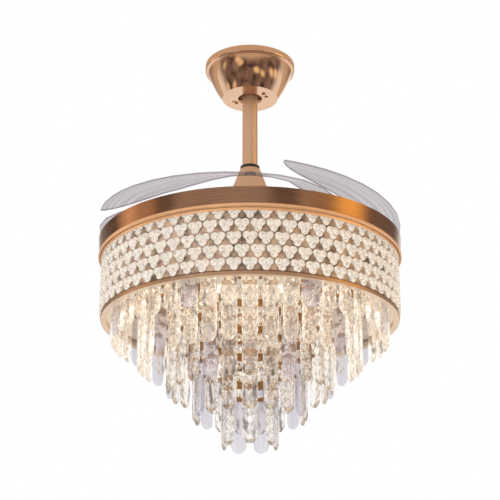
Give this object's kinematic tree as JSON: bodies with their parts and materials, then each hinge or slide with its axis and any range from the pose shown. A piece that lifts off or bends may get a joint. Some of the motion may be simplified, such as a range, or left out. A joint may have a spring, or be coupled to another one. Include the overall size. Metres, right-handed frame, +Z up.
{
  "type": "chandelier ceiling fan",
  "caption": "Ceiling fan with clear curved blades that fold over a rose gold drum light hung with crystal bars and banded with three lobed crystals, on a bell canopy and down rod.",
  "frame": {"origin": "on the ceiling plane, on the axis of the down rod, at the middle of the bracket's slots", "axes": "+Z up along the rod, towards the ceiling; -Y is the side that the picture shows"},
  "size_m": [0.5, 0.5, 0.678],
  "materials": {
    "zinc_steel": "zinc plated steel",
    "rose_gold": "polished rose gold plating",
    "rose_gold_brushed": "brushed rose gold plating",
    "mirror_sleeve": "bright rose gold sleeve",
    "pale_plastic": "moulded",
    "black_plastic": "moulded",
    "dark_bolt": "bronzed steel",
    "lamination": "stacked steel sheet",
    "copper": "enamelled wire",
    "white_enamel": "warm white enamel",
    "led_lens": "frosted lens",
    "motor_paint": "satin champagne paint",
    "magnet": "ferrite",
    "spring_steel": "spring wire",
    "clear_acrylic": "clear moulded acrylic",
    "arm_plastic": "moulded",
    "crystal_trefoil": "faceted crystal",
    "crystal_prism": "cut crystal",
    "crystal_bead": "cut crystal"
  },
  "bodies": {
    "ceiling_mount": {"hanger_bracket": "zinc_steel", "canopy": "rose_gold", "canopy_screws": "rose_gold", "terminal_block": "pale_plastic"},
    "stem": {"hanger_ball": "black_plastic", "hanger_pin": "zinc_steel", "downrod": "rose_gold", "rod_collar": "black_plastic", "coupling_cover": "rose_gold", "coupling_yoke": "zinc_steel", "coupling_bolt": "dark_bolt", "motor_shaft": "zinc_steel", "stator_core": "lamination", "stator_coils": "copper", "shaft_flange": "zinc_steel", "drum_top_cover": "white_enamel", "cover_screws": "zinc_steel", "drum_band": "rose_gold_brushed", "crystal_band": "mirror_sleeve", "trim_ring": "rose_gold", "lamp_plate": "white_enamel", "led_modules": "led_lens", "led_driver": "pale_plastic", "control_box": "black_plastic", "trefoil_row_1": "crystal_trefoil", "trefoil_row_2": "crystal_trefoil", "trefoil_row_3": "crystal_trefoil", "trefoil_row_4": "crystal_trefoil", "trefoil_row_5": "crystal_trefoil", "prism_tier_1": "crystal_prism", "prism_tier_2": "crystal_prism", "prism_tier_3": "crystal_prism", "prism_tier_4": "crystal_prism", "prism_tier_5": "crystal_prism", "bead_strands_1": "crystal_bead", "bead_strands_2": "crystal_bead", "bead_strands_3": "crystal_bead", "bead_strands_4": "crystal_bead", "bead_strands_5": "crystal_bead"},
    "rotor": {"rotor_housing_bottom": "motor_paint", "rotor_housing_top": "motor_paint", "magnet_ring": "magnet", "bearings": "zinc_steel", "blade_tray": "motor_paint", "tray_screws": "zinc_steel", "pivot_pins": "zinc_steel", "return_springs": "spring_steel"},
    "folding_blade_1": {"blade_1": "clear_acrylic", "blade_arm_1": "arm_plastic", "blade_screws_1": "zinc_steel"},
    "folding_blade_2": {"blade_2": "clear_acrylic", "blade_arm_2": "arm_plastic", "blade_screws_2": "zinc_steel"},
    "folding_blade_3": {"blade_3": "clear_acrylic", "blade_arm_3": "arm_plastic", "blade_screws_3": "zinc_steel"},
    "folding_blade_4": {"blade_4": "clear_acrylic", "blade_arm_4": "arm_plastic", "blade_screws_4": "zinc_steel"}
  },
  "joints": [
    {"name": "ball_tilt", "type": "hinge", "parent": "ceiling_mount", "child": "stem", "pos_m": [0, 0, -0.036], "axis": [1, 0, 0], "range_deg": [-10, 10]},
    {"name": "rotor_spin", "type": "hinge", "parent": "stem", "child": "rotor", "pos_m": [0, 0, -0.3], "axis": [0, 0, 1], "continuous": true},
    {"name": "blade_fold_1", "type": "hinge", "parent": "rotor", "child": "folding_blade_1", "pos_m": [0.02518, 0.1428, -0.33], "axis": [0, 0, 1], "range_deg": [0, 155], "stiffness_Nm_per_rad": 0.05},
    {"name": "blade_fold_2", "type": "hinge", "parent": "rotor", "child": "folding_blade_2", "pos_m": [0.1428, -0.02518, -0.33], "axis": [0, 0, 1], "range_deg": [0, 155], "stiffness_Nm_per_rad": 0.05},
    {"name": "blade_fold_3", "type": "hinge", "parent": "rotor", "child": "folding_blade_3", "pos_m": [-0.02518, -0.1428, -0.33], "axis": [0, 0, 1], "range_deg": [0, 155], "stiffness_Nm_per_rad": 0.05},
    {"name": "blade_fold_4", "type": "hinge", "parent": "rotor", "child": "folding_blade_4", "pos_m": [-0.1428, 0.02518, -0.33], "axis": [0, 0, 1], "range_deg": [0, 155], "stiffness_Nm_per_rad": 0.05}
  ],
  "couplings": [
    {"joint": "blade_fold_2", "follows": "blade_fold_1", "ratio": 1},
    {"joint": "blade_fold_3", "follows": "blade_fold_1", "ratio": 1},
    {"joint": "blade_fold_4", "follows": "blade_fold_1", "ratio": 1}
  ]
}
